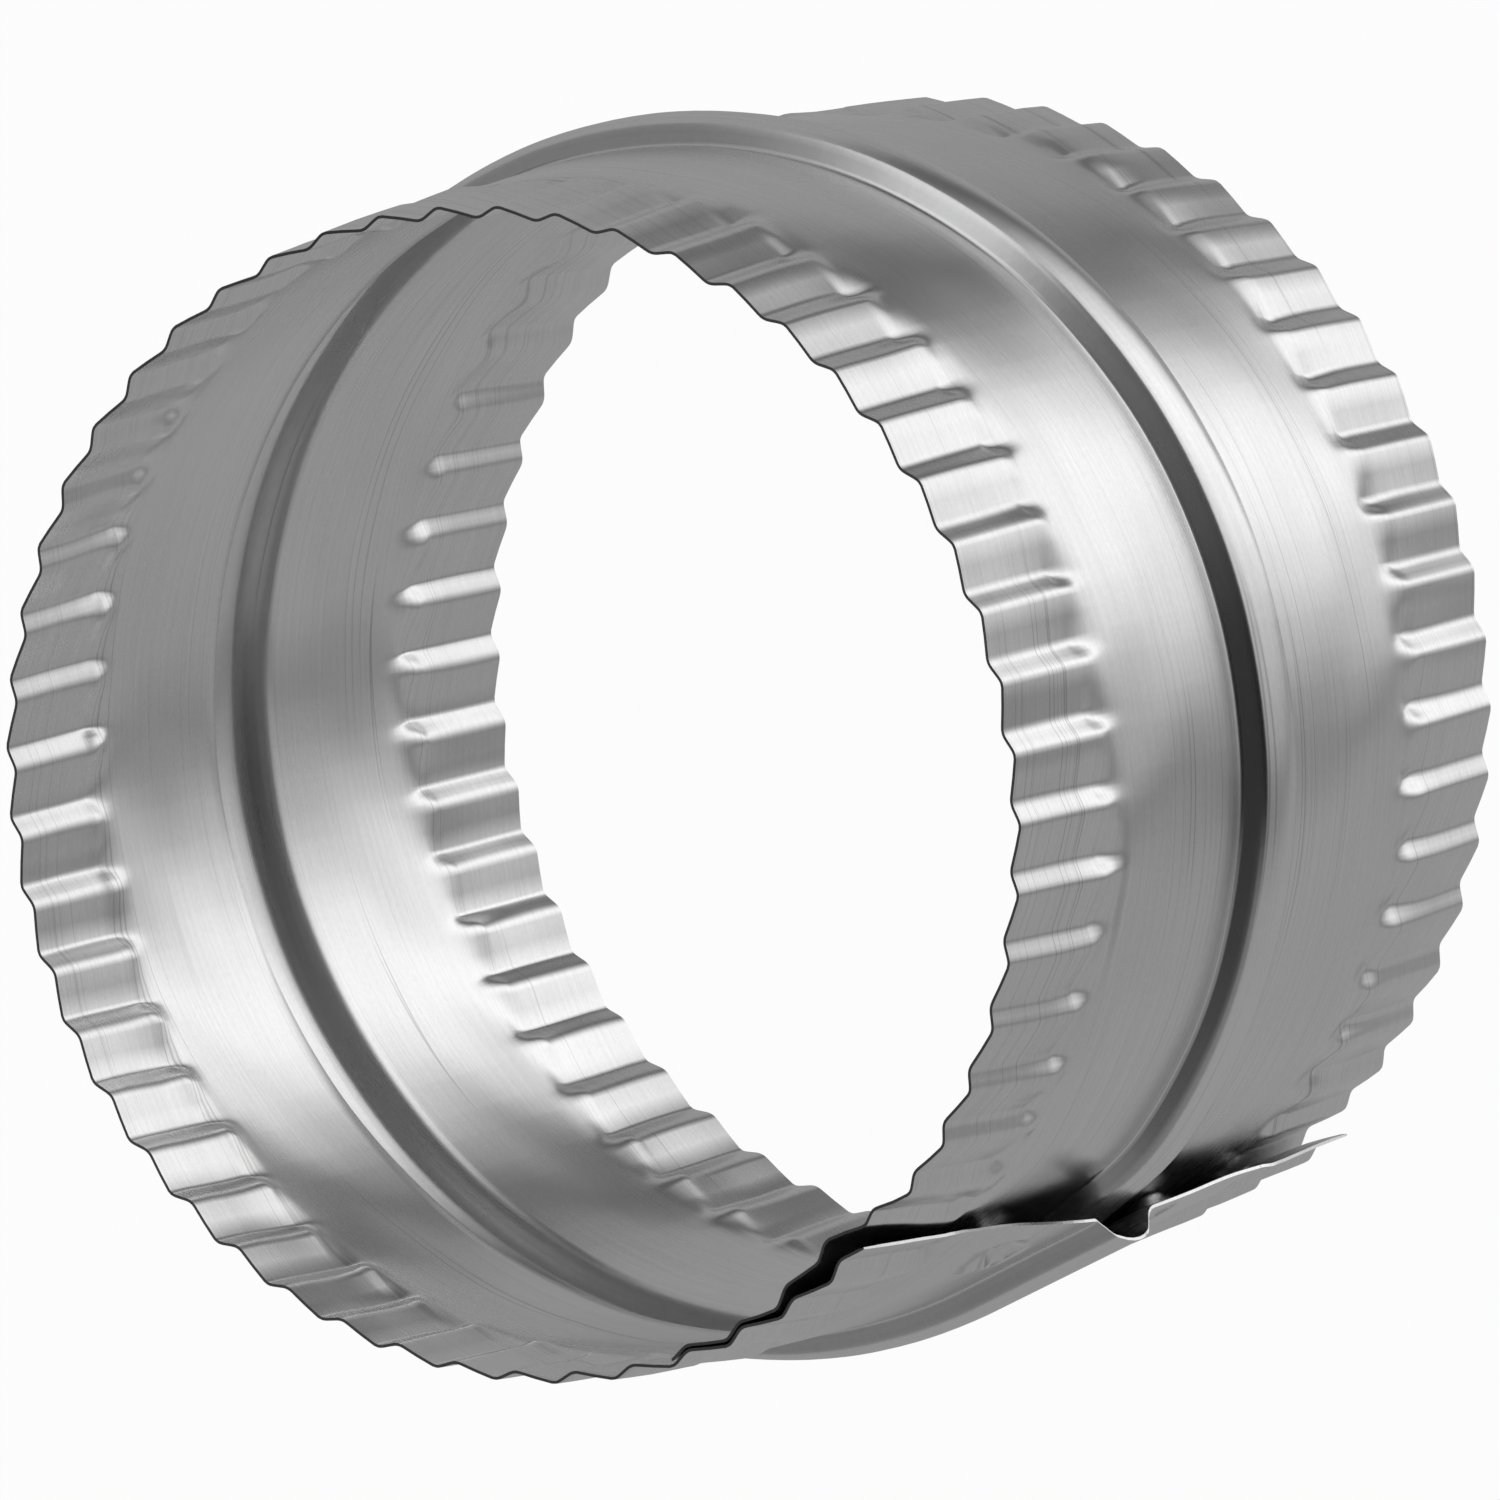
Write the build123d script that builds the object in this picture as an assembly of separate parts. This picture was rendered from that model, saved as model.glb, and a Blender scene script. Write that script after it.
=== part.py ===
from build123d import *
import os
from math import cos, hypot, radians, sin, tan

# Sleeve that joins the ends of two round ducts of one size. It is one strip of sheet metal,
# rolled into a tube that stands on its end: +Z is the tube's axis, and the origin lies on
# that axis at the lower rim. A raised bead at mid length stops both ducts, and both ends
# are crimped so that they enter the ducts easily. The strip's outer end laps over its inner
# end on the +X side, where two clinches hold the lap. All sizes are in millimetres.

# Sheet and tube
SHEET = 0.4              # thickness of the metal
DIAMETER = 101.6         # outside at mid length, which is the bore of the ducts
LENGTH = 78.0            # from rim to rim
TAPER = 1.4              # how much the radius falls from mid length to each rim

# Bead round the middle
BEAD_HEIGHT = 2.5        # crest above the tube
BEAD_SLOPE = 42.0        # degrees, of its two flanks against the tube
BEAD_CREST = 2.0         # outside radius of the rounded crest

# Crimps at both ends, in saw-tooth form
TURN_CRIMPS = 53         # crimps in one full turn
CRIMP_DEPTH = 1.0        # radial, from crest to valley
CRIMP_LENGTH = 12.3      # at full depth, from the rim
CRIMP_FADE = 3.0         # over which the crimp runs out into the tube
SHORT_FLANK = 0.35       # share of a crimp taken by its steep flank

# Lap of the two ends of the strip, counted in crimps
TIP_CRIMPS = 2           # inner end that lies along the outer layer
TUCK_CRIMPS = 3          # straight stretch that leads the strip inwards
LAP_CRIMPS = 4           # overlap of the inner end and the outer flap
FLAP_CRIMPS = 2          # whole crimps on the flat outer flap, beside its first long flank
LAP_CLEARANCE = 0.4      # between the two layers

# Clinches that hold the lap, one each side of the bead
CLINCH_FROM_MIDDLE = 12.5   # height above and below mid length
CLINCH_FROM_EDGE = 7.0      # from the flap's free edge
CLINCH_DIAMETER = 6.0       # of the dish at the flap's surface
CLINCH_FLOOR = 3.6          # diameter of the dish's floor
CLINCH_BUTTON = 0.4         # height of its button inside the tube

# What follows from these sizes
half_length = LENGTH / 2
outer_radius = DIAMETER / 2
taper = TAPER / half_length
slope = radians(BEAD_SLOPE)
bead_apex = outer_radius + BEAD_HEIGHT + BEAD_CREST * (1 / cos(slope) - 1)
bead_reach = (bead_apex - outer_radius) / (tan(slope) - taper)
bead_foot = half_length - bead_reach
crimp_end = CRIMP_LENGTH + CRIMP_FADE
crimp_angle = 360 / TURN_CRIMPS
crimp_width = radians(crimp_angle) * outer_radius
lap_step = SHEET + LAP_CLEARANCE
strip_crimps = TURN_CRIMPS + LAP_CRIMPS
strip_angle = -LAP_CRIMPS / 2 * crimp_angle
tuck_end = TIP_CRIMPS + TUCK_CRIMPS
flap_start = strip_crimps - FLAP_CRIMPS - (1 - SHORT_FLANK)
flap_length = (strip_crimps - flap_start) * crimp_width


def angle_at(u):
    """Angle in degrees round the axis, u crimps along the strip from its inner end."""
    return strip_angle + u * crimp_angle


def radial(u, radius, z):
    """Point at a distance from the axis, on the radial plane at u."""
    a = radians(angle_at(u))
    return Vector(radius * cos(a), radius * sin(a), z)


def tube_radius(z, depth):
    """Radius of the tapered tube at height z, at a depth below its outer surface."""
    return outer_radius - taper * abs(z - half_length) - depth * hypot(1, taper)


def flap_direction():
    """Direction in which the flat flap leaves the roll."""
    a = radians(angle_at(flap_start))
    return Vector(-sin(a), cos(a), 0)


def wall_point(u, z, depth, lift=0.0):
    """Point of the rolled strip at u and z, moved outwards by lift."""
    r = tube_radius(z, depth) + lift
    if u <= TIP_CRIMPS:
        return radial(u, r - lap_step, z)
    if u < tuck_end:
        inner = radial(TIP_CRIMPS, r - lap_step, z)
        outer = radial(tuck_end, r, z)
        return inner + (outer - inner) * ((u - TIP_CRIMPS) / TUCK_CRIMPS)
    if u <= flap_start:
        return radial(u, r, z)
    return radial(flap_start, r, z) + flap_direction() * ((u - flap_start) * crimp_width)


def foot_edge(u0, u1, depth):
    """Edge of the wall at the bead's foot: an arc on the roll and a line elsewhere."""
    start = wall_point(u0, bead_foot, depth)
    end = wall_point(u1, bead_foot, depth)
    if u1 <= TIP_CRIMPS or tuck_end <= u0 and u1 <= flap_start:
        middle = wall_point((u0 + u1) / 2, bead_foot, depth)
        return Edge.make_three_point_arc(start, middle, end)
    return Edge.make_line(start, end)


def bead_profile():
    """Section of the sheet from foot to foot of the bead, with radius as x and height as y."""
    rim = tube_radius(0, 0)
    core = rim / 2
    root = tube_radius(bead_foot, 0)
    ends = [(core, LENGTH), (core, 0), (rim, 0)]
    tube = make_face(Polyline((rim, 0), (outer_radius, half_length), (rim, LENGTH), *ends))
    ridge = [(root, bead_foot), (bead_apex, half_length), (root, LENGTH - bead_foot)]
    blank = tube + Polygon(*ridge, align=None)
    blank = fillet(blank.vertices().sort_by(Axis.X)[-1], BEAD_CREST)
    window = Pos((core + rim) / 2, half_length) * Rectangle(
        outer_radius, 2 * bead_reach, align=(Align.MIN, Align.CENTER)
    )
    return (blank - offset(blank, -SHEET, kind=Kind.INTERSECTION)) & window


def bead():
    """The bead, as it is rolled from the strip's inner end to its outer flap."""
    section = Plane.XZ * bead_profile()
    inner = Pos(-lap_step, 0, 0) * section
    tuck_foot = Rot(0, 0, angle_at(TIP_CRIMPS)) * inner
    roll_foot = Rot(0, 0, angle_at(tuck_end)) * section
    tip = revolve(Rot(0, 0, angle_at(0)) * inner, Axis.Z, TIP_CRIMPS * crimp_angle)
    tuck = loft([tuck_foot, roll_foot], ruled=True)
    roll = revolve(roll_foot, Axis.Z, (flap_start - tuck_end) * crimp_angle)
    flap = extrude(Rot(0, 0, angle_at(flap_start)) * section, flap_length, dir=flap_direction())
    return tip + tuck + roll + flap


def triangle(a, b, c):
    """Flat face with three corners."""
    return Face(Wire.make_polygon([a, b, c]))


def wall_stops(crimp):
    """Places where the wall behind a crimp begins and ends, and where the flap leaves the roll."""
    bend = [flap_start] if crimp < flap_start < crimp + 1 else []
    return [crimp, *bend, crimp + 1]


def crimp_skin(crimp, depth):
    """One skin of a crimp and of the wall behind it, with its edges at the rim and the bead.

    Two flanks meet in the valley. Behind them the valley closes in flat triangles."""
    rise = CRIMP_DEPTH / 2
    ridges = [(crimp, rise), (crimp + SHORT_FLANK, -rise), (crimp + 1, rise)]
    rim = [wall_point(u, 0, depth, lift) for u, lift in ridges]
    fold = [wall_point(u, CRIMP_LENGTH, depth, lift) for u, lift in ridges]
    rims = [Edge.make_line(a, b) for a, b in zip(rim, rim[1:])]
    folds = [Edge.make_line(a, b) for a, b in zip(fold, fold[1:])]
    stops = wall_stops(crimp)
    plain = [wall_point(u, crimp_end, depth) for u in stops]
    feet = [foot_edge(u0, u1, depth) for u0, u1 in zip(stops, stops[1:])]
    faces = [Face.make_surface_from_curves(a, b) for a, b in zip(rims, folds)]
    faces += [triangle(fold[0], fold[1], plain[0]), triangle(fold[1], fold[2], plain[-1])]
    for a, b, foot in zip(plain, plain[1:], feet):
        faces.append(triangle(fold[1], a, b))
        faces.append(Face.make_surface_from_curves(Edge.make_line(a, b), foot))
    return faces, rims + feet


def crimped_end():
    """The lower end from rim to bead: crimps, plain wall, rim and cut ends."""
    faces = []
    for crimp in range(strip_crimps):
        outside, edges_out = crimp_skin(crimp, 0)
        inside, edges_in = crimp_skin(crimp, SHEET)
        faces += outside + inside
        faces += [Face.make_surface_from_curves(a, b) for a, b in zip(edges_out, edges_in)]
    rise = CRIMP_DEPTH / 2
    levels = [(0, rise), (CRIMP_LENGTH, rise), (crimp_end, 0), (bead_foot, 0)]
    for u in (0, strip_crimps):
        for (z0, lift0), (z1, lift1) in zip(levels, levels[1:]):
            out = Edge.make_line(wall_point(u, z0, 0, lift0), wall_point(u, z1, 0, lift1))
            into = Edge.make_line(wall_point(u, z0, SHEET, lift0), wall_point(u, z1, SHEET, lift1))
            faces.append(Face.make_surface_from_curves(out, into))
    return Solid(Shell(faces))


def clinch(z):
    """The cup of one clinch at height z, and the hollow that is pressed into it."""
    u = strip_crimps - CLINCH_FROM_EDGE / crimp_width
    centre = wall_point(u, z, 0)
    outward = radial(flap_start, 1, 0)
    along = flap_direction()
    start = wall_point(TIP_CRIMPS, z, SHEET)
    end = wall_point(tuck_end, z, SHEET)
    share = (centre - start).dot(along) / (end - start).dot(along)
    through = (centre - start - (end - start) * share).dot(outward)
    floor_depth = through + CLINCH_BUTTON - SHEET
    flare = (CLINCH_DIAMETER - CLINCH_FLOOR) / 2 / floor_depth
    floor = CLINCH_FLOOR / 2
    base = Plane(centre - outward * floor_depth, x_dir=(0, 0, 1), z_dir=outward)
    foot = (Align.CENTER, Align.CENTER, Align.MIN)
    rise = floor_depth + SHEET
    hollow = base * Cone(floor, floor + flare * rise, rise, align=foot)
    rise = floor_depth - SHEET / 2
    wall = floor + SHEET
    cup = base * Cone(wall, wall + flare * rise, rise, align=foot)
    cup += base.offset(-SHEET) * Cylinder(wall, SHEET, align=foot)
    return cup, hollow


def connector_sleeve():
    """The whole sleeve: two crimped ends, each with its clinch, and the bead between them."""
    cup, hollow = clinch(half_length - CLINCH_FROM_MIDDLE)
    lower = crimped_end() + cup - hollow
    upper = lower.mirror(Plane.XY.offset(half_length))
    return bead() + lower + upper


sleeve = connector_sleeve()
sleeve.label = "connector_sleeve"
os.makedirs("parts", exist_ok=True)
export_step(sleeve, "parts/connector_sleeve.step")
print("connector_sleeve", round(sleeve.volume), "cubic mm")
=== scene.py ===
# %% [markdown]
# # A duct connector in rolled sheet metal
#
# The object is one strip of bright, satin sheet, rolled into a short tube. A duct end slides over
# each half, up to the raised bead. Both ends are crimped, and the strip's outer end laps over its
# inner end and is clinched to it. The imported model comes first, as the fixed frame: it gives the
# sizes that the looks have to keep.

# %% Load the frame
import math

import bpy
import numpy as np
from mathutils import Matrix, Vector


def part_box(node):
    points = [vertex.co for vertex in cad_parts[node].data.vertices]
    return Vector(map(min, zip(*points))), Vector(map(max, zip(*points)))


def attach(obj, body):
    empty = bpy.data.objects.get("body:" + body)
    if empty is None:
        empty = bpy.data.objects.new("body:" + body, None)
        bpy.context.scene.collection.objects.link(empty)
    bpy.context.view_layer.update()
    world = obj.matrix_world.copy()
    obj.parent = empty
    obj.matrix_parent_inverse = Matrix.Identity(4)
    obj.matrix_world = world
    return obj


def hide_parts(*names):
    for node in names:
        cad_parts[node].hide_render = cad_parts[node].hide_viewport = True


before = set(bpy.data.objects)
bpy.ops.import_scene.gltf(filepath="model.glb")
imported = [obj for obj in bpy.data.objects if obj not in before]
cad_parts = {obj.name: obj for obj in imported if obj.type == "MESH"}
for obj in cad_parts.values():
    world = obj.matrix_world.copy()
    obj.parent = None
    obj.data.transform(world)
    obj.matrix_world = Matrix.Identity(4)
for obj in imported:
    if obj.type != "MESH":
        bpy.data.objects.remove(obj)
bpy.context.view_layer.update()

low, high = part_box("connector_sleeve")
print("the sleeve's box in mm:", [round(1000 * (b - a), 1) for a, b in zip(low, high)])

# %% [markdown]
# ## Sizes
#
# The tube could be a section turned round the axis, but no two crimps are quite alike, and the
# strip has two loose ends. So the surface is computed: a distance from the axis for each place on
# the strip. A place is a pair: `u`, counted in crimps from the strip's inner end, and `z`, the
# height. Counting in crimps keeps every fold at a whole number, whatever the diameter.

# %% Sizes of the strip, in metres
MM = 0.001
LENGTH = high.z - low.z
MIDDLE = LENGTH / 2
SHEET = 0.4 * MM
BEAD_HEIGHT = 2.5 * MM
CREST_RADIUS = (high.y - low.y) / 2
RADIUS = CREST_RADIUS - BEAD_HEIGHT

TURN_CRIMPS = 53
LAP_CRIMPS = 4
STRIP_CRIMPS = TURN_CRIMPS + LAP_CRIMPS
PITCH_ANGLE = 2 * math.pi / TURN_CRIMPS
PITCH = PITCH_ANGLE * RADIUS
START_ANGLE = -LAP_CRIMPS / 2 * PITCH_ANGLE
print("crimps are", round(PITCH / MM, 2), "mm apart")

# %% [markdown]
# ## The wall's section
#
# Along its length the wall bows a little, because the crimps draw its ends in, and it has one
# round bead at mid length. Both are functions of the height alone. The bow is an arc of a large
# circle. The bead is given by its tilt: along an arc the sine of the tilt grows evenly, and on a
# straight flank it stays. So a short table of sines describes all arcs and flanks, and adding up
# the slopes gives the height. The upper flank is the steeper one.

# %% Bow and bead
BOW = 1.4 * MM
BEAD_CENTRE = MIDDLE + 1.3 * MM
BEAD_PLACES = np.array([-5.9, -4.2, -2.9, -2.4, 2.05, 2.45, 3.35]) * MM
BEAD_SINES = np.array([0, -0.6, -0.6, -0.33, 0.48, 0.86, 0.86])
BEAD_SAMPLES = 2000


def bowed(z):
    """Radius of the tube at height z: the circle through both rims and the middle."""
    bow_radius = (MIDDLE**2 + BOW**2) / (2 * BOW)
    return RADIUS - bow_radius + np.sqrt(bow_radius**2 - (z - MIDDLE) ** 2)


bead_places = np.linspace(BEAD_PLACES[0], BEAD_PLACES[-1], BEAD_SAMPLES)
bead_sine = np.interp(bead_places, BEAD_PLACES, BEAD_SINES)
bead_slope = -bead_sine / np.sqrt(1 - bead_sine**2)
bead_rise = np.cumsum(bead_slope) * (bead_places[1] - bead_places[0])
bead_rise -= np.linspace(0, bead_rise[-1], BEAD_SAMPLES)
bead_rise *= BEAD_HEIGHT / bead_rise.max()


def bead(z):
    """Height of the bead at height z, read from the summed slopes."""
    return np.interp(z - BEAD_CENTRE, bead_places, bead_rise, left=0, right=0)


print("the bead is", round((BEAD_PLACES[-1] - BEAD_PLACES[0]) / MM, 2), "mm wide")

# %% [markdown]
# ## Crimps
#
# Crimping jaws fold both ends into a saw-tooth: a short steep flank and a long gentle one. The
# folds are round, so the saw-tooth is averaged over a short window. Inwards the folds run out
# into the wall, and each valley ends in a small round dent where the jaw's corner pressed. The
# jaws are worked by hand from crimp to crimp, so each valley has its own depth, length and dent.

# %% The saw-tooth
SHORT_FLANK = 0.31
FOLD_WINDOW = 0.15
FOLD_SAMPLES = 9


def valley(u):
    """Depth of the saw-tooth below its crests: 0 at whole crimps, 1 where the short flank ends."""
    place = u % 1.0
    return np.where(place < SHORT_FLANK, place / SHORT_FLANK, (1 - place) / (1 - SHORT_FLANK))


def rounded_valley(u):
    """Mean of the saw-tooth over a window, which rounds its folds."""
    shifts = np.linspace(-0.5, 0.5, FOLD_SAMPLES) * FOLD_WINDOW
    return np.mean([valley(u + shift) for shift in shifts], axis=0)


print("the rounded valley is", round(float(rounded_valley(SHORT_FLANK)), 2), "of the sharp one")

# %% [markdown]
# Four random sizes make each crimp its own: depth, length, dent and the dent's place. They are
# drawn once, with a fixed seed, so the sleeve is the same at every run. A noise would vary the
# wall as well, but jaws only leave marks where they bite, so each crimp has its own four numbers.

# %% The crimps' own sizes and their run-out
CRIMP_DEPTH = 1.0 * MM
CRIMP_LENGTH = 12.3 * MM
CRIMP_FADE = 1.9 * MM
CREST_SHARE = 0.5
CREST_FADE = 1.6 * CRIMP_FADE
DENT_DEPTH = 0.55 * MM
DENT_RADIUS = 1.8 * MM
DENT_PLACE = 1.5 * MM
DENT_MARGIN = 0.25

rng = np.random.default_rng(53)
valley_depth = 1 + rng.uniform(-0.14, 0.06, (2, STRIP_CRIMPS))
valley_length = rng.uniform(-0.5, 0.5, (2, STRIP_CRIMPS)) * MM
valley_dent = rng.uniform(0.5, 1.35, (2, STRIP_CRIMPS))
valley_shift = rng.uniform(-0.12, 0.12, (2, STRIP_CRIMPS))


def smooth(x):
    """Rises from 0 to 1 as x does, level at both ends: 3 x squared less 2 x cubed."""
    x = np.clip(x, 0, 1)
    return x * x * (3 - 2 * x)


def crimps(u, z):
    """Lift of the crimped surface over the plain tube.

    Crests stand half the depth above the tube, and valleys are cut from them. Both fade into the
    tube behind the crimps, where each valley ends in a dent: a bell curve of the distance."""
    end = (z > MIDDLE).astype(int)
    crimp = np.clip(np.floor(u).astype(int), 0, STRIP_CRIMPS - 1)
    from_rim = np.minimum(z, LENGTH - z)
    behind = from_rim - CRIMP_LENGTH - valley_length[end, crimp]
    crest = CREST_SHARE * (1 - smooth((from_rim - CRIMP_LENGTH) / CREST_FADE))
    cut = (valley_depth[end, crimp] - CREST_SHARE) * (1 - smooth(behind / CRIMP_FADE)) + crest
    across = ((u - crimp) - SHORT_FLANK - valley_shift[end, crimp]) * PITCH
    inside = smooth((u - crimp) / DENT_MARGIN) * smooth((crimp + 1 - u) / DENT_MARGIN)
    dent = np.exp(-(across**2 + (behind - DENT_PLACE) ** 2) / DENT_RADIUS**2) * inside
    lift = crest - cut * rounded_valley(u)
    return CRIMP_DEPTH * lift - DENT_DEPTH * valley_dent[end, crimp] * dent


print(STRIP_CRIMPS, "crimps at each end,", round(valley_depth.min(), 2), "to",
      round(valley_depth.max(), 2), "times", CRIMP_DEPTH / MM, "mm deep")

# %% [markdown]
# ## Lap and clinches
#
# The outer end of the strip keeps straight where the tube curves away below it, so its free edge
# stands off. The inner end is tucked under it. A clinch on each side of the bead presses both
# layers into one round dish. Two separate sheets would need a join out of sight, so one strip
# carries both layers, and only its distance from the axis differs.

# %% The two layers at the seam
TIP_CRIMPS = 2
TUCK_END = 5
TIP_TUCK = 0.5 * MM
FLAP_CRIMPS = 2
FREE_EDGE_TRIM = 0.25
STRIP_END = STRIP_CRIMPS - FREE_EDGE_TRIM
FLAP_START = STRIP_CRIMPS - FLAP_CRIMPS - (1 - SHORT_FLANK)
FLAP_LENGTH = (STRIP_CRIMPS - FLAP_START) * PITCH
SPRING_HEIGHTS = np.array([0, 20, 40, 60, 78]) * MM
FLAP_SPRING = np.array([2.26, 2.2, 3.04, 0.36, 0.09]) * MM
TUCK_DIP = np.array([0.1, 0.2, 1.0, 0.6, 1.9]) * MM
SPRING_WINDOW = 10 * MM
SPRING_SAMPLES = 7
TUCK_DIP_PLACE = 3.4
TUCK_DIP_WIDTH = 1.1
CLINCH_FROM_MIDDLE = 12.5 * MM
CLINCH_FROM_EDGE = 7.0 * MM
CLINCH_PLACE = STRIP_CRIMPS - CLINCH_FROM_EDGE / PITCH
CLINCH_RADIUS = 3 * MM
CLINCH_FLOOR = 1.6 * MM
CLINCH_DEPTH = 1.3 * MM


def by_height(z, sizes):
    """Size at height z: joined by lines from height to height, then smoothed over a window."""
    shifts = np.linspace(-0.5, 0.5, SPRING_SAMPLES) * SPRING_WINDOW
    return np.mean([np.interp(z + shift, SPRING_HEIGHTS, sizes) for shift in shifts], axis=0)


def layers(u, z):
    """Distance of the strip from the plain tube at the seam.

    The flap rises with the square of the distance from where it leaves the roll, and has a round
    dish at each clinch. The inner end lies below the tube and dips further in between."""
    along = np.clip((u - FLAP_START) * PITCH / FLAP_LENGTH, 0, None)
    from_clinch = np.hypot((u - CLINCH_PLACE) * PITCH, np.abs(z - MIDDLE) - CLINCH_FROM_MIDDLE)
    dish = smooth((CLINCH_RADIUS - from_clinch) / (CLINCH_RADIUS - CLINCH_FLOOR))
    tucked = 1 - smooth((u - TIP_CRIMPS) / (TUCK_END - TIP_CRIMPS))
    dip = np.exp(-(((u - TUCK_DIP_PLACE) / TUCK_DIP_WIDTH) ** 2)) * (u < STRIP_CRIMPS / 2)
    lift = by_height(z, FLAP_SPRING) * along**2 - by_height(z, TUCK_DIP) * dip
    return lift - CLINCH_DEPTH * dish - TIP_TUCK * tucked


print("the flap is", round(FLAP_LENGTH / MM, 1), "mm long and stands off by up to",
      round(FLAP_SPRING.max() / MM, 1), "mm")

# %% [markdown]
# ## Slack in the wall
#
# Crimping shortens the rims, and the wall next to them gives way in shallow waves. They are far
# too low to see in the outline, but a satin metal shows them as clouds of light and shade. A bump
# in the material would shade them too, but real waves also bend the reflections.

# %% Waves of the wall
WAVE_HEIGHT = 0.075 * MM
WAVES = ((3.1, 0.9, 0.4), (5.3, -1.7, 2.2), (8.6, 2.4, 4.1), (13.7, -3.3, 1.3), (19.4, 4.6, 5.2))
CALM = 0.75
CALM_FROM = 17 * MM
CALM_OVER = 14 * MM


def waves(u, z):
    """Sum of five sine waves that run round the tube, strongest just behind the crimps."""
    from_rim = np.minimum(z, LENGTH - z)
    calm = CALM * smooth((from_rim - CALM_FROM) / CALM_OVER)
    strength = smooth(from_rim / CRIMP_LENGTH) * (1 - calm)
    turn = 2 * np.pi * u / TURN_CRIMPS
    rise = 2 * np.pi * z / LENGTH
    total = sum(np.sin(across * turn + along * rise + phase) for across, along, phase in WAVES)
    return WAVE_HEIGHT * strength * total


print("the waves add up to", round(len(WAVES) * WAVE_HEIGHT / MM, 2), "mm at most")

# %% [markdown]
# ## Drift of the crimps
#
# The strip is fed through the jaws by hand, so the crimps stand a little off their even places,
# and not alike at both rims. Moving the grid's own lines round the tube keeps every fold on a
# line, which shifting only the saw-tooth wouldn't.

# %% Drift, counted in crimps
LOWER_TURN = (4, 6.7, 19.7, 30, 33.7, 38.8, 43.2, 52)
LOWER_DRIFT = (0, -0.3, -0.27, -0.1, 0.06, 0.03, -0.12, 0)
UPPER_TURN = (4, 7.3, 12.3, 15.5, 21.4, 30, 33.7, 40)
UPPER_DRIFT = (0, -0.29, -0.25, -0.13, 0, -0.1, -0.03, 0)


def blend(share, first, second):
    """First where share is 0, second where it is 1."""
    return first + share * (second - first)


def drift(u, z):
    """How many crimps a crimp stands off its even place, by its turn, from end to end."""
    lower = np.interp(u, LOWER_TURN, LOWER_DRIFT)
    upper = np.interp(u, UPPER_TURN, UPPER_DRIFT)
    return blend(smooth((z - CRIMP_LENGTH) / (LENGTH - 2 * CRIMP_LENGTH)), lower, upper)


print("a crimp drifts by up to", round(-min(LOWER_DRIFT) * PITCH / MM, 1), "mm")

# %% [markdown]
# ## Grid lines
#
# An even grid fine enough for the folds would have millions of faces. So the lines are placed
# close together on folds, run-outs, clinches and the bead, and wide apart on plain wall.

# %% Places of the grid lines
CRIMP_LINES = np.array([0, 0.04, 0.085, 0.15, 0.23, 0.27, 0.31, 0.35, 0.395, 0.66, 0.93])
NARROWEST = 0.05
RUN_OUT = (CRIMP_LENGTH - 0.9 * MM, CRIMP_LENGTH + 5 * MM)
CLINCH_HEIGHT = MIDDLE - CLINCH_FROM_MIDDLE
SPAN_LINES = (4, 12, 3, 7)
LINES_TO_BEAD = 3
BEAD_LINES = np.array([-6.1, -5.9, -5.3, -4.7, -4.2, -3.5, -2.9, -2.65, -2.4, -1.5, -0.7, 0.2,
                       1.1, 2.05, 2.25, 2.45, 2.65, 3.15, 3.35, 3.55]) * MM


def lines_between(start, end, count):
    """Evenly spaced grid lines from start on, without the end."""
    return np.linspace(start, end, count, endpoint=False)


def heights():
    """Grid lines along the tube. The upper end mirrors the lower one, and the bead is between."""
    clinch_end = CLINCH_HEIGHT + CLINCH_RADIUS
    stops = [0, *RUN_OUT, CLINCH_HEIGHT - CLINCH_RADIUS, clinch_end]
    lower = np.concatenate([lines_between(*span) for span in zip(stops, stops[1:], SPAN_LINES)])
    across_bead = BEAD_CENTRE + BEAD_LINES
    to_bead = lines_between(clinch_end, across_bead[0], LINES_TO_BEAD)
    from_bead = lines_between(LENGTH - clinch_end, across_bead[-1], LINES_TO_BEAD)
    return np.concatenate([lower, to_bead, across_bead, from_bead[::-1], LENGTH - lower[::-1]])


u_lines = (np.arange(STRIP_CRIMPS)[:, None] + CRIMP_LINES).ravel()
u_lines = np.append(u_lines[u_lines < STRIP_END - NARROWEST], STRIP_END)
z_lines = heights()
print(len(u_lines), "lines round the tube and", len(z_lines), "along it")

# %% [markdown]
# ## Both skins
#
# A Solidify modifier could thicken one skin, but its corners at sharp folds wander. Here the
# inner skin is the same grid, moved inwards along the surface's own normal by the thickness of
# the sheet, so the folds keep an even wall. The shears thin the sheet where they cut it.

# %% Outer and inner skin
SHEARED = 0.65


def radius_at(u, z):
    """Radius of the outer skin: bow, bead, crimps, waves and the layers of the lap added up."""
    return bowed(z) + bead(z) + crimps(u, z) + waves(u, z) + layers(u, z)


def points_of(radius, angle, z):
    """Points from radius, angle and height."""
    return np.stack([radius * np.cos(angle), radius * np.sin(angle), z], axis=-1)


def unit(v):
    """Vectors scaled to length one."""
    return v / np.linalg.norm(v, axis=-1, keepdims=True)


U, Z = np.meshgrid(u_lines, z_lines, indexing="ij")
angles = START_ANGLE + (U + drift(U, Z)) * PITCH_ANGLE
outer = points_of(radius_at(U, Z), angles, Z)
normal = unit(np.cross(np.gradient(outer, axis=0), np.gradient(outer, axis=1)))
thickness = np.full(U.shape + (1,), SHEET)
thickness[:, [0, -1]] *= SHEARED
thickness[[0, -1]] *= SHEARED
inner = outer - thickness * normal
inner[..., 2] = Z
outwards = (normal * unit(outer * [1, 1, 0])).sum(-1) > 0
print("all normals point outwards:", bool(outwards.all()))

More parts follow.
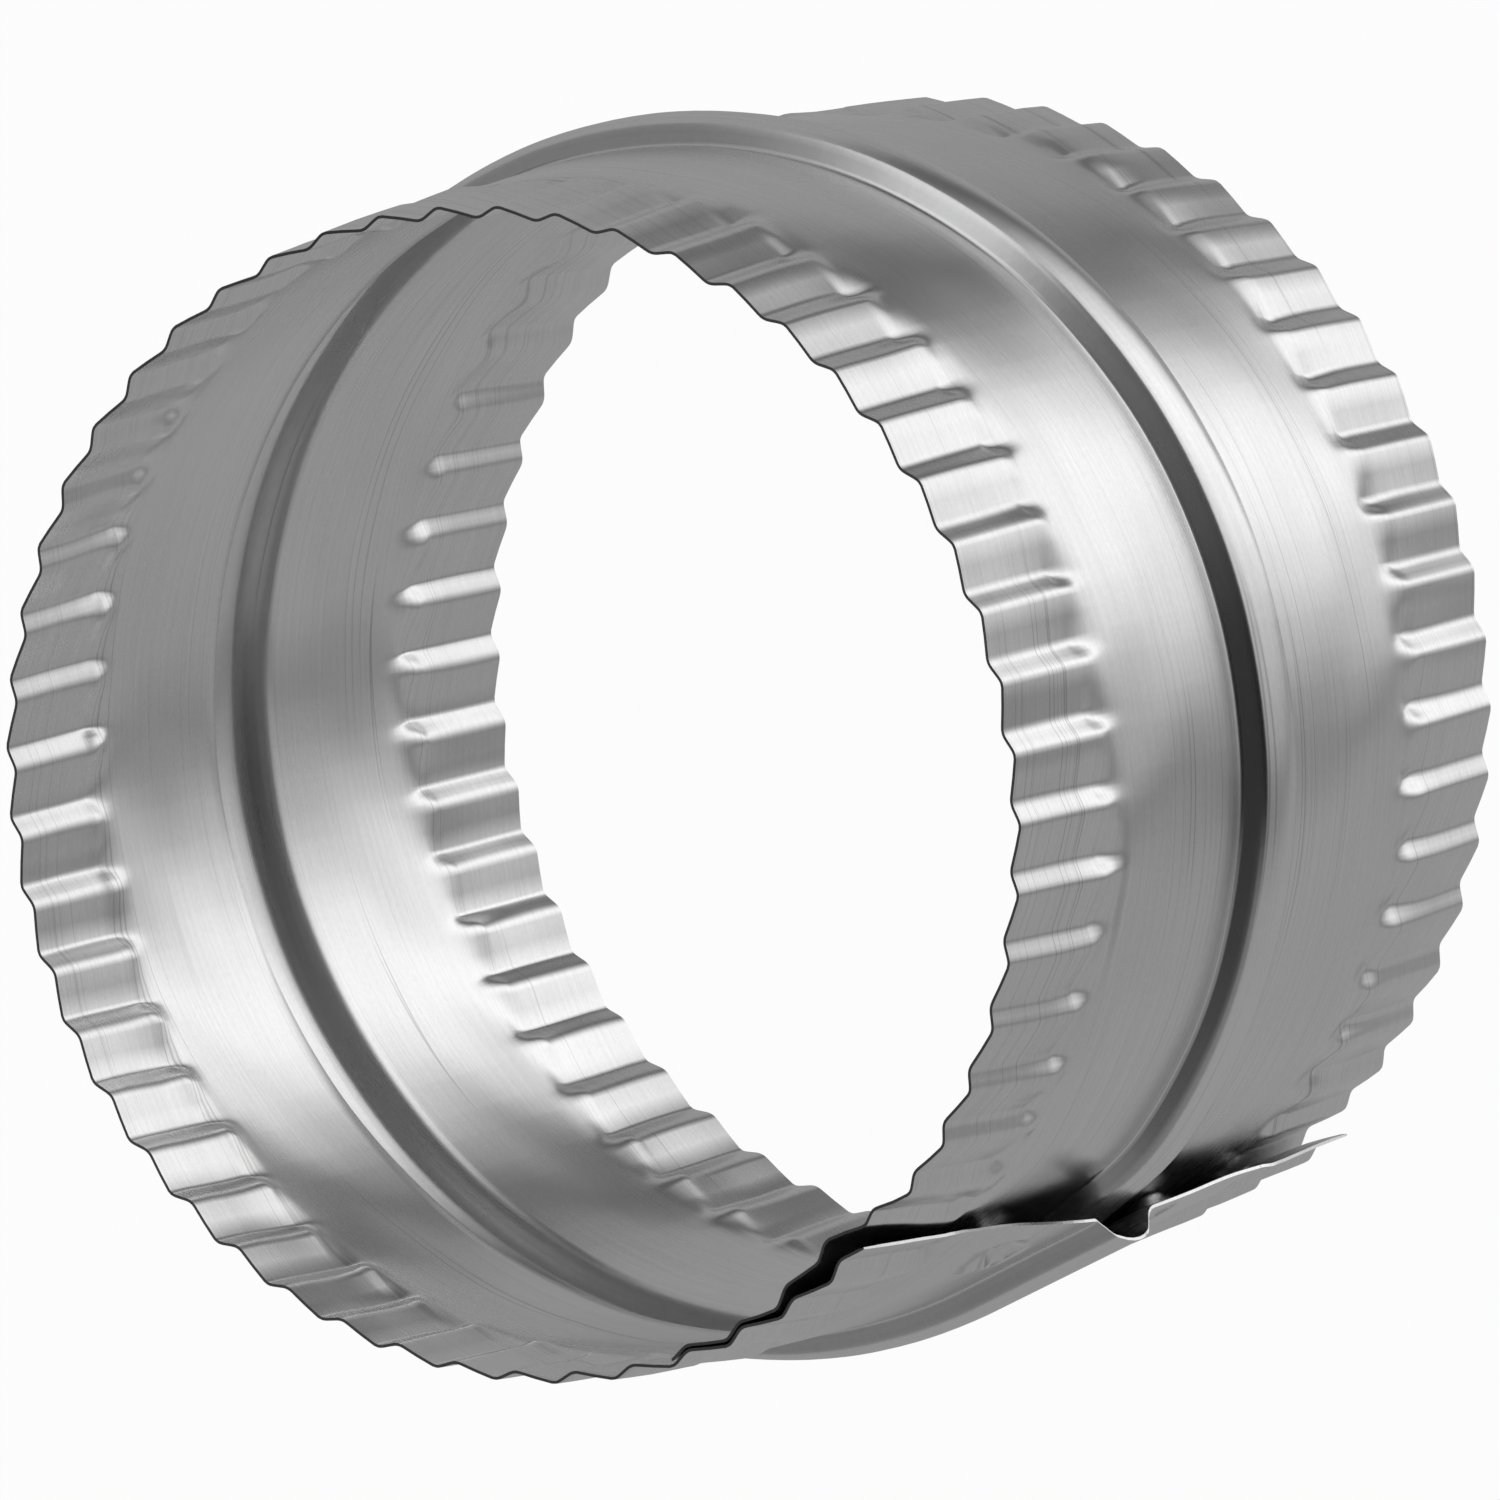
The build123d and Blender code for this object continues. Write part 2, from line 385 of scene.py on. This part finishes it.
# %% [markdown]
# ## One closed mesh
#
# The two skins become one mesh. Four narrow bands of faces close the cut edges. The bands are
# flat and their edges are sharp, so that the round skins and the straight cut are shaded apart.
# Filling the mesh from whole arrays is quicker than adding faces one by one.

# %% Faces
def grid_faces(index):
    """Quads of a grid of vertex numbers."""
    a = index[:-1, :-1]
    b = index[1:, :-1]
    c = index[1:, 1:]
    d = index[:-1, 1:]
    return np.stack([a, b, c, d], axis=-1).reshape(-1, 4)


def skin_and_band_faces(shape):
    """Faces of both skins, faces of the bands, and the vertices on the cut edges."""
    top = np.arange(shape[0] * shape[1]).reshape(shape[:2])
    under = top + top.size
    edges = [
        (top[:, 0], under[:, 0]),
        (top[-1], under[-1]),
        (top[::-1, -1], under[::-1, -1]),
        (top[0, ::-1], under[0, ::-1]),
    ]
    bands = [np.stack([o[1:], o[:-1], i[:-1], i[1:]], axis=-1) for o, i in edges]
    skins = [grid_faces(top), grid_faces(under)[:, ::-1]]
    rim = [line for pair in edges for line in pair]
    return np.concatenate(skins), np.concatenate(bands), np.concatenate(rim)


print("each skin has", len(grid_faces(np.arange(U.size).reshape(U.shape))), "faces")

# %% [markdown]
# The mesh is filled from these arrays in one go: places, corners, and where each face starts.
# Each corner also gets the strip's own coordinates in metres, since the finish follows the strip
# round the tube. An unwrapping tool would have to find the seam, and here it is known.



# %% Mesh
def filled_mesh(name, places, faces):
    """Mesh of four-cornered faces, filled from arrays."""
    mesh = bpy.data.meshes.new(name)
    mesh.vertices.add(len(places))
    mesh.vertices.foreach_set("co", places.astype(np.float32).ravel())
    mesh.loops.add(faces.size)
    mesh.loops.foreach_set("vertex_index", faces.astype(np.int32).ravel())
    mesh.polygons.add(len(faces))
    mesh.polygons.foreach_set("loop_start", np.arange(0, faces.size, 4, dtype=np.int32))
    mesh.update(calc_edges=True)
    return mesh


def sharpen(mesh, flat_faces, rim):
    """Marks the bands' faces as flat, and each edge between two vertices of the rim as sharp."""
    flat = mesh.attributes.new("sharp_face", "BOOLEAN", "FACE")
    flat.data.foreach_set("value", flat_faces)
    ends = np.empty(2 * len(mesh.edges), np.int32)
    mesh.edges.foreach_get("vertices", ends)
    on_rim = np.zeros(len(mesh.vertices), bool)
    on_rim[rim] = True
    crease = mesh.attributes.new("sharp_edge", "BOOLEAN", "EDGE")
    crease.data.foreach_set("value", on_rim[ends.reshape(-1, 2)].all(axis=1))


def closed_sheet(name, outer, inner, uv):
    """Object of two skins and the bands along their edges, with a UV map in metres."""
    skins, bands, rim = skin_and_band_faces(outer.shape)
    faces = np.concatenate([skins, bands])
    mesh = filled_mesh(name, np.concatenate([outer.reshape(-1, 3), inner.reshape(-1, 3)]), faces)
    sharpen(mesh, np.arange(len(faces)) >= len(skins), rim)
    both = np.concatenate([uv.reshape(-1, 2), uv.reshape(-1, 2)])
    layer = mesh.uv_layers.new(name="strip")
    layer.data.foreach_set("uv", both[faces.ravel()].astype(np.float32).ravel())
    mesh.validate()
    obj = bpy.data.objects.new(name, mesh)
    bpy.context.scene.collection.objects.link(obj)
    print(name, len(mesh.vertices), "vertices", 2 * len(faces), "triangles")
    return obj


sleeve = closed_sheet("rolled_sleeve", outer, inner, np.stack([U * PITCH, Z], axis=-1))

# %% [markdown]
# ## A small language for shader maths
#
# A material is a network of nodes. Two helpers keep it readable: `Nodes.add` makes any node from
# its type, its settings and its inputs, and `Value` wraps a socket so that Python's own
# operators add the Math nodes.

# %% Helpers for nodes
class Value:
    """A number that varies over a surface: a socket with Python's operators."""

    def __init__(self, nodes, socket):
        self.nodes = nodes
        self.socket = socket

    def math(self, operation, *others):
        return self.nodes.math(operation, self, *others)

    def __add__(self, other):
        return self.math("ADD", other)

    __radd__ = __add__

    def __sub__(self, other):
        return self.math("SUBTRACT", other)

    def __rsub__(self, other):
        return self.nodes.math("SUBTRACT", other, self)

    def __mul__(self, other):
        return self.math("MULTIPLY", other)

    __rmul__ = __mul__

    def step(self, start, end):
        """0 below start, 1 above end, and smooth between."""
        node = self.nodes.add("MapRange", {"interpolation_type": "SMOOTHSTEP"},
                              {"Value": self, "From Min": start, "From Max": end})
        return node["Result"]


class Nodes:
    """The node tree of one material or world, emptied first."""

    def __init__(self, owner):
        owner.use_nodes = True
        self.tree = owner.node_tree
        self.tree.nodes.clear()

    def add(self, kind, settings=None, inputs=None):
        """Makes a node, sets it, feeds its inputs, and returns its outputs by name."""
        names = ("ShaderNode" + kind, "ShaderNodeBsdf" + kind, "ShaderNodeTex" + kind)
        kinds = [name for name in names if hasattr(bpy.types, name)]
        node = self.tree.nodes.new(kinds[0])
        for name, value in (settings or {}).items():
            setattr(node, name, value)
        named = {socket.name: socket for socket in node.inputs if socket.enabled}
        for name, value in (inputs or {}).items():
            socket = node.inputs[name] if isinstance(name, int) else named[name]
            if isinstance(value, Value):
                self.tree.links.new(value.socket, socket)
            else:
                socket.default_value = value
        return {output.name: Value(self, output) for output in node.outputs if output.enabled}

    def math(self, operation, *values):
        """A Math node on up to three numbers or values."""
        return self.add("Math", {"operation": operation}, dict(enumerate(values)))["Value"]


# %% [markdown]
# ## Satin metal
#
# Sheet is rolled to its thickness, and the rolls leave fine lines along the strip. They smear a
# reflection a little across themselves, which is an anisotropy turned a quarter from the default
# round the axis. A picture of metal would show its pixels close up, so the patterns are noises
# in the strip's own coordinates, each stretched along the strip by its own amount.

# %% Patterns of the strip, with their scales per metre
CLOUDS = 38
LINES_ALONG = 40
LINES_ACROSS = 2600
GRAIN = 1900
HAIRLINES_ACROSS = 520
HAIRLINE_WIDTH = 0.02
KEPT_ALONG = 22
KEPT_ACROSS = 160
KEPT_SEED = 7.3


def noise(nodes, along, across, seed, detail=0.0):
    """Noise from 0 to 1 with its own scale along and across the strip, per metre."""
    place = nodes.add("SeparateXYZ", {}, {"Vector": nodes.add("UVMap", {"uv_map": "strip"})["UV"]})
    scaled = {"X": place["X"] * along, "Y": place["Y"] * across, "Z": seed}
    vector = nodes.add("CombineXYZ", {}, scaled)["Vector"]
    return nodes.add("Noise", {}, {"Vector": vector, "Scale": 1.0, "Detail": detail})["Fac"]


def hairlines(nodes, seed, along, shown):
    """Thin lines where a slow noise crosses its middle, kept only where a second noise is high."""
    crossing = (noise(nodes, along, HAIRLINES_ACROSS, seed) - 0.5).math("ABSOLUTE")
    kept = noise(nodes, KEPT_ALONG, KEPT_ACROSS, seed + KEPT_SEED, 1.0).step(*shown)
    return crossing.step(HAIRLINE_WIDTH, 0) * kept


print("rolling lines are about", round(1 / LINES_ACROSS / MM, 2), "mm apart")

# %% [markdown]
# The sheet is pale and slightly grey where its skin has dulled, and a few thin dark hairlines
# follow the rolling, where it was scored. So the clouds, lines and grain mix a pale and a dull
# grey, vary the roughness a little, and give a bump of a hundredth of a millimetre. Modelled
# lines this fine would need millions of faces, and a bump shows the same.

# %% Finish
PALE = (0.83, 0.83, 0.835, 1)
DULL = (0.66, 0.655, 0.65, 1)
SCORED = (0.3, 0.29, 0.28, 1)
DULLNESS = 0.22
DULL_CLOUDS = 0.9
DULL_LINES = 0.8
DULL_GRAIN = 0.45
LONG_HAIRLINES = (11.3, 2.5, (0.5, 0.64))
LONG_DARKNESS = 0.5
SHORT_HAIRLINES = (23.9, 4.5, (0.55, 0.7))
SHORT_DARKNESS = 0.3
ROUGHNESS = 0.22
ROUGH_CLOUDS = 0.07
ROUGH_LINES = 0.03
BUMP_STRENGTH = 0.35
BUMP_HEIGHT = 0.012 * MM
BUMP_LINES = 0.7
BUMP_GRAIN = 0.3
BUMP_SCORES = 0.6
ROLLED = {"Metallic": 1.0, "Anisotropic": 0.5, "Anisotropic Rotation": 0.25}


def mixed(nodes, share, first, second):
    """Colour between two colours."""
    inputs = {"Factor": share, "A": first, "B": second}
    return nodes.add("Mix", {"data_type": "RGBA"}, inputs)["Result"]


def satin_sheet():
    """Rolled aluminium sheet: clouds, rolling lines, grain and hairline scratches."""
    material = bpy.data.materials.new("satin_sheet")
    nodes = Nodes(material)
    clouds = noise(nodes, CLOUDS, CLOUDS, 1.7, 3.0)
    lines = noise(nodes, LINES_ALONG, LINES_ACROSS, 4.1, 2.0)
    grain = noise(nodes, GRAIN, GRAIN, 2.9, 1.0)
    scores = hairlines(nodes, *LONG_HAIRLINES) * LONG_DARKNESS
    scores = scores.math("MAXIMUM", hairlines(nodes, *SHORT_HAIRLINES) * SHORT_DARKNESS)
    dull = (clouds - 0.5) * DULL_CLOUDS + (lines - 0.5) * DULL_LINES + (grain - 0.5) * DULL_GRAIN
    colour = mixed(nodes, (dull + DULLNESS).math("MAXIMUM", 0), PALE, DULL)
    colour = mixed(nodes, scores, colour, SCORED)
    roughness = ROUGHNESS + clouds * ROUGH_CLOUDS + lines * ROUGH_LINES
    height = lines * BUMP_LINES + grain * BUMP_GRAIN - scores * BUMP_SCORES
    bump = nodes.add("Bump", {}, {
        "Strength": BUMP_STRENGTH, "Distance": BUMP_HEIGHT, "Height": height})
    metal = nodes.add("Principled", {}, {
        **ROLLED, "Base Color": colour, "Roughness": roughness, "Normal": bump["Normal"]})
    nodes.add("OutputMaterial", {}, {"Surface": metal["BSDF"]})
    print("satin_sheet has", len(material.node_tree.nodes), "nodes")
    return material


sleeve.data.materials.append(satin_sheet())
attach(sleeve, "root")
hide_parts("connector_sleeve")

# %% [markdown]
# ## Camera
#
# The photograph was taken with a long lens from beyond one rim, about 32 degrees off the axis.
# The camera's place and its up and back directions were fitted to the outlines of the two rims
# and the bead. A matrix from two directions is easier to read than three angles.

# %% Camera
LENS_MM = 960
SENSOR_MM = 36
FARTHEST = 20
CAMERA_PLACE = Vector((488.09, 1734.09, 2904.01)) * MM
CAMERA_UP = Vector((-0.87713, 0.46211, -0.13073))
CAMERA_BACK = Vector((0.14390, 0.51260, 0.84655))


def camera_turn(up, back):
    """Rotation whose columns are the camera's right, up and back."""
    back = back.normalized()
    right = up.cross(back).normalized()
    up = back.cross(right)
    return Matrix((right, up, back)).transposed()


scene = bpy.context.scene
camera_data = bpy.data.cameras.new("camera")
camera_data.lens = LENS_MM
camera_data.sensor_width = SENSOR_MM
camera_data.clip_end = FARTHEST
camera = bpy.data.objects.new("camera", camera_data)
turn = camera_turn(CAMERA_UP, CAMERA_BACK).to_4x4()
camera.matrix_world = Matrix.Translation(CAMERA_PLACE) @ turn
scene.collection.objects.link(camera)
scene.camera = camera
print("the camera stands", round(CAMERA_PLACE.length, 2), "m from the origin")

# %% [markdown]
# ## Light
#
# Metal shows its surroundings more than itself, so the room is most of the look. The sleeve
# stands on a white floor in a light tent. Upright walls mirror the floor, and the floor glows
# with a painted reflection of the tent's upper cloth: one wide bright panel with a darker gap on
# each side. The bead's gentle flank mirrors cloth near the horizon, and its steep flank the dark
# cloth behind the camera. Area lights would do the same, but a world whose light depends on
# azimuth and height has soft edges everywhere and little noise.

# %% Cloth, with azimuths in degrees and the height of a direction as its sine
WHITE = (1, 1, 1, 1)
CLOTH = 0.363
PANEL = 0.9
PANEL_AZIMUTHS = (48, 104, 108, 144)
GAPS = ((45, 12, 0.12), (153, 18, 0.28))
LOW_CLOTH = 0.22
LOW_STEPS = ((30, 44, -0.21), (60, 112, 0.1), (122, 142, 0.8), (153, 176, -0.56))
LOW_FROM = (-0.05, 0.1)
TOP_CLOTH = 0.03
TOP_STEPS = ((70, 110, 0.08), (136, 160, 0.75), (160, 178, -0.45))
TOP_FROM = (0.6, 0.75)


def azimuth_of(x, y):
    """Azimuth of a direction in degrees, from -180 to 180."""
    return y.math("ARCTAN2", x) * (180 / math.pi)


def upper_cloth(azimuth):
    """Light of the upper cloth: an even tone, plus the panel with its soft sides, less the gaps."""
    near, full, last, far = PANEL_AZIMUTHS
    light = CLOTH + PANEL * azimuth.step(near, full) * azimuth.step(far, last)
    for centre, half_width, depth in GAPS:
        light = light - depth * (azimuth - centre).math("ABSOLUTE").step(half_width, 0)
    return light


def stepped(azimuth, light, steps):
    """Light that changes step by step round the tent."""
    for start, end, change in steps:
        light = light + change * azimuth.step(start, end)
    return light


print("the panel spans", PANEL_AZIMUTHS[-1] - PANEL_AZIMUTHS[0], "degrees of azimuth")

# %% [markdown]
# The camera itself sees plain white in every direction. All other rays get the tent: low cloth
# near the horizon, upper cloth above it, and the top over that. The three pass into each other
# smoothly by the height of the ray's direction. Three lamps would leave three hard highlights.

# %% The tent
scene.view_settings.view_transform = "Standard"
world = bpy.data.worlds.new("light_tent")
scene.world = world
nodes = Nodes(world)
way = nodes.add("SeparateXYZ", {}, {"Vector": nodes.add("TexCoord")["Generated"]})
azimuth = azimuth_of(way["X"], way["Y"])
low_light = stepped(azimuth, LOW_CLOTH, LOW_STEPS)
top_light = stepped(azimuth, TOP_CLOTH, TOP_STEPS)
light = blend(way["Z"].step(*LOW_FROM), upper_cloth(azimuth), low_light)
light = blend(way["Z"].step(*TOP_FROM), light, top_light)
seen = nodes.add("LightPath")["Is Camera Ray"]
background = nodes.add("Background", {}, {"Color": WHITE, "Strength": seen + (1 - seen) * light})
nodes.add("OutputWorld", {}, {"Surface": background["Background"]})
print("the tent's light has", len(world.node_tree.nodes), "nodes")

# %% [markdown]
# ## Floor
#
# The photograph has a pure white ground, so the camera sees the floor almost evenly white, with
# a trace of the sleeve's shadow. For metal the floor glows instead with a painted reflection of
# the upper cloth. A mirror would do that too, but one material that asks what kind of ray has
# come keeps both looks apart.

# %% The floor
FLOOR_SIZE = 3
FLOOR_GLOW = 0.97
FLOOR_WHITE = (0.95, 0.95, 0.95, 1)


def white_floor():
    """A white floor.

    The camera sees it white, with a faint shadow. For glossy rays from metal it glows with a
    painted reflection of the upper cloth, by the azimuth in which the ray travels."""
    material = bpy.data.materials.new("white_floor")
    nodes = Nodes(material)
    path = nodes.add("LightPath")
    incoming = nodes.add("SeparateXYZ", {}, {"Vector": nodes.add("NewGeometry")["Incoming"]})
    # Painted reflection: for glossy rays the floor glows with the upper cloth's light, by azimuth.
    painted_cloth_reflection = upper_cloth(azimuth_of(0 - incoming["X"], 0 - incoming["Y"]))
    pale = nodes.add("Diffuse", {}, {"Color": FLOOR_WHITE})
    glow = nodes.add("Emission", {}, {"Color": WHITE, "Strength": 1.0})
    painted_reflection_glow = nodes.add("Emission", {}, {"Color": WHITE, "Strength": painted_cloth_reflection})
    clear = path["Is Camera Ray"].math("MAXIMUM", path["Is Transmission Ray"])
    shown = nodes.add("MixShader", {}, {
        0: clear * FLOOR_GLOW, 1: pale["BSDF"], 2: glow["Emission"]})
    both = nodes.add("MixShader", {}, {
        0: path["Is Glossy Ray"], 1: shown["Shader"], 2: painted_reflection_glow["Emission"]})
    nodes.add("OutputMaterial", {}, {"Surface": both["Shader"]})
    return material


floor_mesh = bpy.data.meshes.new("floor")
corners = [(x * FLOOR_SIZE, y * FLOOR_SIZE, 0) for x, y in ((-1, -1), (1, -1), (1, 1), (-1, 1))]
floor_mesh.from_pydata(corners, [], [(0, 1, 2, 3)])
floor_mesh.materials.append(white_floor())
floor = bpy.data.objects.new("floor", floor_mesh)
scene.collection.objects.link(floor)
print("the floor is", 2 * FLOOR_SIZE, "m wide")
